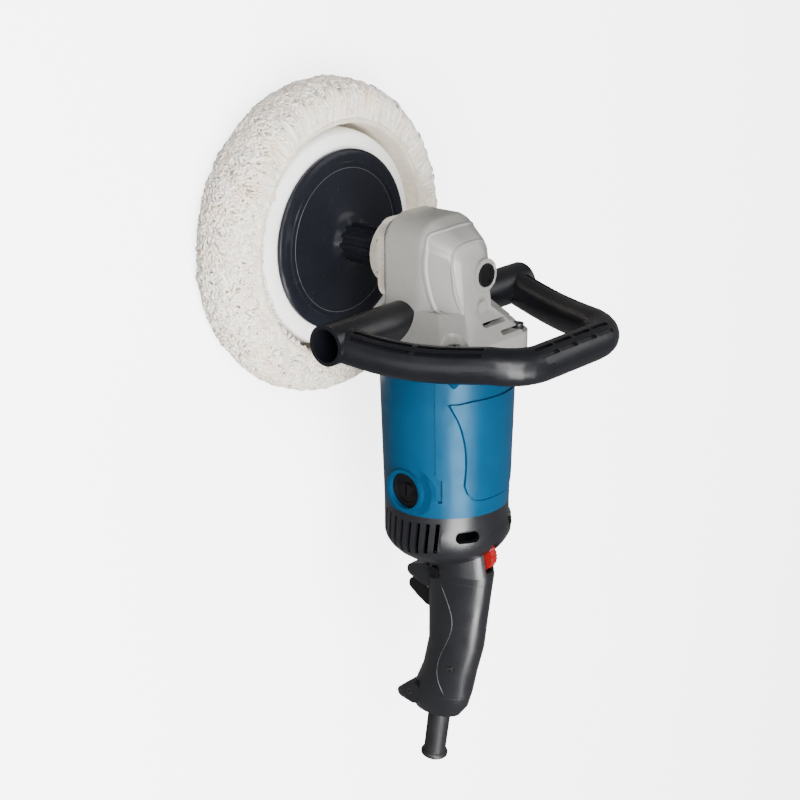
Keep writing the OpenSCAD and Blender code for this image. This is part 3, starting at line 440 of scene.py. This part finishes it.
# ---------- springs ----------
def add_springs():
    """Coils under the spindle lock button, the trigger and the lock-on button; each is a copy of its CAD
    node that rides with the housing, and the node is hidden.
    """
    lock_x, lock_y = (sum(corner[i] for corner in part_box("lock_spring")) / 2 for i in (0, 1))
    lock_foot = (lock_x, lock_y, 161.05 * MM)
    trigger_top = (266 * MM, 0, 140.7 * MM)
    lock_on_end = (234 * MM, 13 * MM, 146 * MM)
    # node, joint, axis, the end that stays, share of the length left at the joint's limit
    springs = (("lock_spring", "spindle_lock_press", (0, 0, 1), lock_foot, 0.45),
               ("trigger_spring", "trigger_pull", (0, 0, 1), trigger_top, 0.55),
               ("lock_on_spring", "lock_on_press", (0, 1, 0), lock_on_end, 0.82))
    for node, joint, axis, anchor, keep in springs:
        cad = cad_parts[node]
        coil = bpy.data.objects.new(node.replace("spring", "coil"), cad.data.copy())
        coil.matrix_world = cad.matrix_world.copy()
        bpy.context.scene.collection.objects.link(coil)
        coil.data.shade_smooth()
        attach(coil, "housing")
        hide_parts(node)
        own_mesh(coil)


# ---------- mesh helpers ----------
def put_mesh(name, verts, faces, look, body):
    """A new piece with smooth shading that moves with the body."""
    mesh = bpy.data.meshes.new(name)
    mesh.from_pydata([tuple(v) for v in verts], [], [tuple(f) for f in faces])
    mesh.validate()
    mesh.shade_smooth()
    mesh.materials.append(LOOKS[look])
    obj = bpy.data.objects.new(name, mesh)
    bpy.context.scene.collection.objects.link(obj)
    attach(obj, body)
    return obj


def lathe(name, profile, look, body, steps=160, wobble=None):
    """Closed ring of profile points (radius, height) turned about the spindle axis."""
    verts, faces = [], []
    count = len(profile)
    for i in range(steps):
        angle = 2 * math.pi * i / steps
        for j, (r, z) in enumerate(profile):
            dr, dz = wobble(angle, j, r, z) if wobble else (0, 0)
            verts.append(((r + dr) * math.cos(angle), (r + dr) * math.sin(angle), z + dz))
    for i in range(steps):
        a, b = i * count, (i + 1) % steps * count
        for j in range(count):
            k = (j + 1) % count
            faces.append((a + j, b + j, b + k, a + k))
    return put_mesh(name, verts, faces, look, body)


def tubes(name, paths, radii, tones_and_shades, look, body, sides=5, floor=None):
    """Many tapered strands as one mesh. paths is (strands, points, 3), radii and the tone with painted
    shade (strands, points).
    No point goes under the height floor."""
    tiny = 1e-12
    strands, points, _ = paths.shape
    along = np.gradient(paths, axis=1)
    along /= np.linalg.norm(along, axis=2, keepdims=True) + tiny
    ref = np.cross(along[:, :1], rng.normal(size=(strands, 1, 3)))
    across = np.cross(np.cross(along, ref), along)
    across /= np.linalg.norm(across, axis=2, keepdims=True) + tiny
    third = np.cross(along, across)
    turn = np.arange(sides) * 2 * math.pi / sides
    ring = (across[:, :, None] * np.cos(turn)[:, None] + third[:, :, None] * np.sin(turn)[:, None])
    verts = (paths[:, :, None] + radii[:, :, None, None] * ring).reshape(-1, 3)
    if floor is not None:
        verts[:, 2] = np.maximum(verts[:, 2], floor)
    s, i, j = np.meshgrid(np.arange(strands), np.arange(points - 1), np.arange(sides), indexing="ij")
    base = (s * points + i) * sides
    step = (j + 1) % sides
    quads = np.stack([base + j, base + step, base + sides + step, base + sides + j], -1).reshape(-1, 4)
    per_strand = points * sides
    firsts = range(0, strands * per_strand, per_strand)
    caps = [tuple(range(first + per_strand - sides, first + per_strand)) for first in firsts]
    feet = [tuple(range(first, first + sides))[::-1] for first in firsts]
    obj = put_mesh(name, verts.tolist(), quads.tolist() + caps + feet, look, body)
    # Per-point tone with painted shade, low at the roots, which the wool's colour reads
    tone_and_shade = obj.data.attributes.new("tone_and_shade", "FLOAT", "POINT")
    tone_and_shade.data.foreach_set("value", np.repeat(tones_and_shades.reshape(-1), sides).astype(np.float32))
    tint = obj.data.attributes.new("tint", "FLOAT", "POINT")
    tint.data.foreach_set("value", np.repeat(rng.random(strands), per_strand).astype(np.float32))
    return obj


def join(first, *others):
    """Joins meshes into the first one, which keeps its name and its body."""
    bpy.ops.object.select_all(action="DESELECT")
    for obj in (first, *others):
        obj.select_set(True)
    bpy.context.view_layer.objects.active = first
    bpy.ops.object.join()
    return first


# ---------- wool pad ----------
ROLL = 17 * MM                      # width of the rounded edge, outside to top
HALF_H = WOOL_TOP / 2
COMBED_SIDE = math.radians(135)     # where the wool is combed outwards most


def wool_surface(arc):
    """Point (radius, height) and outward normal of the pad's side, arc in degrees from the floor up."""
    if arc > 90:
        return WOOL_R - ROLL - (arc - 90) / 90 * ROLL, WOOL_TOP, 0.0, 1.0
    r = WOOL_R - ROLL + ROLL * math.cos(math.radians(arc))
    z = HALF_H + HALF_H * math.sin(math.radians(arc))
    nr, nz = math.cos(math.radians(arc)) / ROLL, math.sin(math.radians(arc)) / HALF_H
    size = math.hypot(nr, nz)
    return r, z, nr / size, nz / size


def combed_share(angle):
    """0 where the wool is short curls right up to the foam, 1 where it is combed outwards."""
    return 0.5 + 0.5 * math.cos(angle - COMBED_SIDE)


def tuft_roots():
    """Roots on rows round the pad, sparse on the face, dense on the side: radius, height, the normal's
    two parts and the angle."""
    face_gap, face_rows, side_gap = 4.4 * MM, 5.2 * MM, 2.7 * MM
    rows = [(r, 0.0, 0.0, -1.0, face_gap) for r in np.arange(4 * MM, WOOL_R - ROLL, face_rows)]
    arc, last_arc = -84.0, 150
    while arc < last_arc:
        rows.append((*wool_surface(arc), side_gap))
        arc += math.degrees(side_gap / (ROLL if abs(arc) > 45 else HALF_H)) * 0.85
    roots = []
    for r, z, nr, nz, gap in rows:
        count = max(6, int(2 * math.pi * r / gap))
        for i in range(count):
            angle = 2 * math.pi * (i + random.random() * 0.9) / count
            if r > LIP_R + 2 * MM or z < WOOL_TOP or combed_share(angle) < 0.45:
                roots.append((r, z, nr, nz, angle))
    return roots


def wool_tufts():
    """Short curled yarn ends, two strands to a root, that lean up the side in waves."""
    taper = (0.8, 1.0, 1.15, 1.1, 0.9, 0.45)
    steps = len(taper)
    paths, radii, tones_and_shades = [], [], []
    for r, z, nr, nz, angle in tuft_roots():
        out = Vector((math.cos(angle), math.sin(angle), 0))
        side = Vector((-math.sin(angle), math.cos(angle), 0))
        normal = out * nr + Vector((0, 0, nz))
        rise = normal.cross(side)
        centre = out * r + Vector((0, 0, z)) - normal * random.uniform(3.4, 4.4) * MM
        swirl = math.pi / 2 + noise.noise(centre * 26) * 2.4
        swirl += noise.noise(centre * 110 + Vector((5, 1, 3))) * 2.6
        puff = noise.noise(centre * 70 + Vector((2, 8, 4))) * 1.3 * MM
        tone = random.uniform(0.45, 1.0)
        for _ in range(2):
            heading = swirl + random.uniform(-0.5, 0.5)
            lean = side * math.cos(heading) + rise * math.sin(heading)
            twist = lean.cross(normal)
            root = centre + lean * random.uniform(-1.2, 1.2) * MM + twist * random.uniform(-1.2, 1.2) * MM
            high = random.uniform(2.9, 4.1) * MM + puff
            reach = random.uniform(5.0, 9.0) * MM
            bow = random.uniform(-2.0, 2.0) * MM
            thick = random.uniform(0.75, 1.15) * MM
            points = []
            for i in range(steps):
                t = i / (steps - 1)
                points.append(root + normal * high * math.sin(t * 2.3) + lean * reach * (t - 0.3)
                              + twist * bow * math.sin(t * math.pi * 1.6))
            paths.append(points)
            radii.append([thick * f for f in taper])
            # The tone falls to nothing at the root as painted shade between the tufts; the tone itself
            # varies at random
            tones_and_shades.append([0.0, 0.3 * tone, 0.75 * tone, tone, tone, 0.8 * tone])
    return np.array(paths), np.array(radii), np.array(tones_and_shades)


def combed_strands():
    """Longer yarn in locks, combed outwards from the cloth lip over the pad's shoulder to ragged ends."""
    locks, per_lock = 96, 26
    taper = (0.8, 1.0, 1.1, 1.15, 1.1, 1.0, 0.9, 0.7, 0.3)
    steps = len(taper)
    first_arc, full_sweep = 151, 134
    paths, radii, tones_and_shades = [], [], []
    for lock in range(locks):
        middle = 2 * math.pi * (lock + random.uniform(-0.3, 0.3)) / locks
        long = min(1.0, 1.35 * combed_share(middle))
        if random.random() > long + 0.25:
            continue
        lock_lift = random.uniform(-0.4, 1.5) * MM
        lock_bend = random.uniform(-0.04, 0.04)
        lock_reach = (0.16 + 0.80 * long) * random.uniform(0.74, 1.08)
        tone = random.uniform(0.62, 1.0)
        for _ in range(per_lock):
            place = random.uniform(-0.6, 0.6)
            angle = middle + place * 2 * math.pi / locks
            thick = random.uniform(0.42, 0.8) * MM
            lift = lock_lift + random.uniform(-0.5, 0.5) * MM - abs(place) * 3.6 * MM
            reach = lock_reach * (1 - 0.35 * abs(place)) * random.uniform(0.85, 1.05)
            start = first_arc - 14 * (1 - long) + random.uniform(-5, 4)
            wave = random.uniform(0, 6.3)
            points = []
            for j in range(steps):
                t = j / (steps - 1)
                r, z, nr, nz = wool_surface(start - full_sweep * t * reach)
                drift = middle + (angle - middle) * (1 - 0.6 * t * t) + lock_bend * t * t
                drift += 0.004 * math.sin(wave + 7 * t)
                up = lift * math.sin(t * 2.6) - 0.3 * MM + 1.2 * MM * long * t
                r = r + nr * up
                points.append((r * math.cos(drift), r * math.sin(drift), z + nz * up))
            paths.append(points)
            radii.append([thick * f for f in taper])
            # Painted shade: strands towards a lock's edges are darker, as the shadow between locks, and the
            # points near the roots are darker as well; the tone varies at random
            shade = tone * random.uniform(0.8, 1.0) * (1 - 0.7 * abs(place))
            tones_and_shades.append([0.4, 0.8, 0.95 * shade, shade, shade, shade,
                         0.95 * shade, 0.9 * shade, 0.8 * shade])
    return np.array(paths), np.array(radii), np.array(tones_and_shades)


def add_wool():
    """The pad: a lumpy base that hugs the foam and cloth, painted all over in the yarn's dark root shade,
    covered with tufts and combed locks.
    """
    inset, lowest = 2.6 * MM, 0.2 * MM
    mouth = LIP_R - 5 * MM
    recess = FOAM_LOW.z - 2 * MM
    profile = [(CORE_R, inset), (WOOL_R - ROLL - 4 * MM, inset)]
    for arc in range(-80, 81, 16):
        r, z, nr, nz = wool_surface(arc)
        profile.append((r - nr * inset, z - nz * inset))
    profile += [(LIP_R, WOOL_TOP - inset), (mouth, WOOL_TOP - inset), (mouth, recess), (CORE_R, recess)]

    def lumps(angle, j, r, z):
        place = Vector((r * math.cos(angle), r * math.sin(angle), z))
        push = noise.noise(place * 130) * 1.2 * MM
        return push, push * 0.4

    body = lathe("wool_base", profile, "wool", "spindle", steps=220, wobble=lumps)
    # The base's per-point value stays 0, so it takes the roots colour: painted shade deep between the tufts
    body.data.attributes.new("tone_and_shade", "FLOAT", "POINT")
    tufts = tubes("wool_tufts", *wool_tufts(), "wool", "spindle", sides=4, floor=lowest)
    combed = tubes("wool_combed", *combed_strands(), "wool", "spindle", sides=4)
    pad = join(tufts, body, combed)
    pad.name = "wool_pad"
    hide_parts("wool_pile")


# ---------- ridges on the gear head ----------
def add_ridges():
    """Raised lines cast on the gear head, laid on its surface where a ray from above meets it.
    The outlines are the +Y halves, in mm from the back round to the front."""
    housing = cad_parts["gear_housing"]
    above, half_width, height = 0.25, 1.3 * MM, 0.75 * MM
    outer = [(36, 23.5), (19, 26.5), (-4, 28), (-20, 26), (-25.5, 19), (-27, 0)]
    inner = [(32, 15.5), (17, 18.5), (-4, 19.5), (-13, 17), (-16.5, 10), (-17, 0)]
    for name, half in (("outer", outer), ("inner", inner)):
        plan = smooth_path([(x, -y) for x, y in half] + [(x, y) for x, y in half[-2::-1]], 12)
        rays = [(Vector((x, y, above)), DOWN) for x, y in plan]
        lay_bead("head_ridge_" + name, [housing], rays, half_width, height, "casting")


def smooth_path(points, cuts):
    """Catmull-Rom curve through plan points in mm, as metres."""
    points = [points[0], *points, points[-1]]
    path = []
    for a, b, c, d in zip(points, points[1:], points[2:], points[3:]):
        for i in range(cuts):
            t = i / cuts
            path.append([MM * 0.5 * (2 * q + (r - p) * t + (2 * p - 5 * q + 4 * r - s) * t * t
                                     + (3 * q - p - 3 * r + s) * t ** 3) for p, q, r, s in zip(a, b, c, d)])
    return path


def nearest_hit(bases, start, aim):
    """Where a ray first meets one of the objects: (place, normal)."""
    hits = [(place, normal) for ok, place, normal, _ in (base.ray_cast(start, aim) for base in bases) if ok]
    return min(hits, key=lambda hit: (hit[0] - start).length)


def lay_bead(name, bases, rays, half_width, height, look):
    """A bead with a bell-shaped section, laid where a line of rays (start, aim) meets the bases.
    It sinks into them over its first and last few rays."""
    run_out, sunk = 6, 0.2
    section = [(-1, -0.5), (-0.6, 0.15), (-0.25, 0.85), (0, 1), (0.25, 0.85), (0.6, 0.15), (1, -0.5)]
    verts, faces = [], []
    last = len(rays) - 1
    for i, (start, aim) in enumerate(rays):
        along = (rays[min(i + 1, last)][0] - rays[max(i - 1, 0)][0]).normalized()
        across = along.cross(aim).normalized()
        end = min(1.0, i / run_out, (last - i) / run_out)
        for side, lift in section:
            place, normal = nearest_hit(bases, start + across * side * half_width, aim)
            verts.append(place + normal * height * (lift * end - sunk * (1 - end)))
    count = len(section)
    for i in range(last):
        for j in range(count - 1):
            a = i * count + j
            faces.append((a, a + 1, a + count + 1, a + count))
        faces.append((i * count, (i + 1) * count, (i + 2) * count - 1, (i + 1) * count - 1))
    faces += [tuple(range(count))[::-1], tuple(range(last * count, (last + 1) * count))]
    put_mesh(name, verts, faces, look, "housing")


# ---------- parting lines of the handle ----------
def add_seams():
    """Fine lines round the handle's cover: an S curve on each side, joined over the back at both ends; the
    S curves are painted lighter grey as the highlight along the seam.
    """
    shells = [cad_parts["rear_body"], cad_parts["handle_cover"]]
    outside = 60 * MM
    first_x, last_x, middle_z = 240, 336, 155.5
    swing, wave_x, degrees_per_mm = 7, 248, 4
    hoop_start, hoop_turn, hoop_steps = -8, 196, 60
    for name, side in (("near", -1), ("far", 1)):
        rays = []
        for x in range(first_x, last_x + 1):
            z = middle_z + swing * math.sin(math.radians(degrees_per_mm * (x - wave_x)))
            rays.append((Vector((x * MM, side * outside, z * MM)), Vector((0, -side, 0))))
        lay_bead("cover_seam_" + name, shells, rays, 0.30 * MM, 0.16 * MM, "seam")
    for name, x, middle in (("front", 238, 150), ("rear", 338, 142)):
        rays = []
        for i in range(hoop_steps + 1):
            turn = math.radians(hoop_start + hoop_turn * i / hoop_steps)
            out = Vector((0, math.cos(turn), math.sin(turn)))
            rays.append((Vector((x * MM, 0, middle * MM)) + out * outside, -out))
        lay_bead("cover_seam_" + name, shells, rays, 0.35 * MM, 0.10 * MM, "rubber")


# ---------- backing plate ----------
def add_plate_ring():
    """Fine raised line moulded round the backing plate, painted lighter grey as the highlight along it."""
    r, above = 53.8 * MM, 0.2
    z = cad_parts["backing_plate"].ray_cast(Vector((r, 0, above)), DOWN)[1].z
    sunk, proud = 0.25 * MM, 0.12 * MM
    foot, crest = 0.36 * MM, 0.15 * MM
    profile = [(r - foot, z - sunk), (r - crest, z + proud), (r + crest, z + proud), (r + foot, z - sunk)]
    lathe("plate_ring", profile, "seam", "spindle")


# ---------- foam disc and cloth ----------
def add_foam():
    """The foam disc: a rounded edge, slightly squeezed and uneven outside the plate."""
    bulge = 5 * MM
    r = FOAM_HIGH.x
    top = FOAM_HIGH.z
    waist, upper_half = 27 * MM, top - 27.2 * MM
    profile = [(CORE_R, FOAM_LOW.z), (r - bulge, FOAM_LOW.z)]
    for arc in range(-60, 76, 9):
        a = math.radians(arc)
        profile.append((r - bulge + bulge * math.cos(a), waist + upper_half * math.sin(a)))
    profile += [(PLATE_R - 1 * MM, top), (PLATE_R - 6 * MM, top - 0.5 * MM), (CORE_R, top - 0.5 * MM)]

    def squeeze(angle, j, rad, z):
        edge = max(0.0, (rad - PLATE_R) / (r - PLATE_R))
        wave = noise.noise(Vector((math.cos(angle) * 2.2, math.sin(angle) * 2.2, z * 40)))
        return wave * 0.7 * MM * edge - 0.4 * MM * edge, noise.noise(Vector((angle * 3, j, 1))) * 0.15 * MM

    foam = lathe("foam_pad", profile, "foam", "spindle", steps=200, wobble=squeeze)
    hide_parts("foam_disc")


def add_cloth():
    """The bonnet's cloth: stretched over the foam and turned out into a lip that is sewn all round."""
    inner = FOAM_HIGH.x + 4.6 * MM
    low, high = FOAM_LOW.z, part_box("bonnet_backing")[1].z
    thick = 1.1 * MM
    fold, edge, edge_z = inner + 2.4 * MM, LIP_R - 1 * MM, high - 1.6 * MM
    profile = [(CORE_R, low), (inner, low), (inner + 0.3 * MM, low + 2 * MM), (inner, high - 2.4 * MM),
               (inner + 0.9 * MM, high - 0.6 * MM), (fold, high), (edge, edge_z), (edge, edge_z - thick),
               (fold, high - thick), (inner + 2 * MM, high - 1.4 * MM), (inner + thick, high - 3 * MM),
               (inner + thick, low - thick), (CORE_R, low - thick)]

    def ripple(angle, j, r, z):
        up = max(0.0, (z - low) / (high - low))
        wave = noise.noise(Vector((math.cos(angle) * 3.5, math.sin(angle) * 3.5, 2)))
        small = noise.noise(Vector((math.cos(angle) * 14, math.sin(angle) * 14, 7)))
        return (wave * 0.9 + small * 0.4) * MM * up, (wave * 0.5 + small * 0.3 - 0.5) * MM * up

    cloth = lathe("bonnet_cloth", profile, "cloth", "spindle", steps=260, wobble=ripple)
    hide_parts("bonnet_backing")
    stitch = add_stitches(inner + 3.0 * MM, high)


def add_stitches(r, top):
    """A ring of short stitches through the lip, each of them up, along and down again."""
    count = 150
    buried, crest = top - 1.1 * MM, top + 0.1 * MM
    paths = []
    for i in range(count):
        a, b = 2 * math.pi * i / count, 2 * math.pi * (i + 0.6) / count
        rows = [(a, buried), (a * 0.7 + b * 0.3, crest), (a * 0.3 + b * 0.7, crest), (b, buried)]
        paths.append([(r * math.cos(t), r * math.sin(t), z) for t, z in rows])
    return tubes("lip_stitches", np.array(paths), np.full((count, 4), 0.35 * MM), np.ones((count, 4)),
                 "cloth", "spindle")


add_camera()
make_looks()
add_stage()
# name, place, size, power in W
add_light("key", (-0.9, -1.3, 1.9), 1.2, 76)
add_light("strip", (0.62, -0.80, 1.45), 1.8, 86, depth=0.62)
add_light("fill", (0.2, -1.9, 0.7), 1.2, 10)
add_light("rim", (-0.8, 1.3, 1.6), 1.2, 15)
add_light("glint", (-0.75, -1.0, 0.75), 0.12, 3.0)
dress_nodes()
add_ridges()
add_seams()
add_springs()
add_plate_ring()
add_wool()
add_foam()
add_cloth()
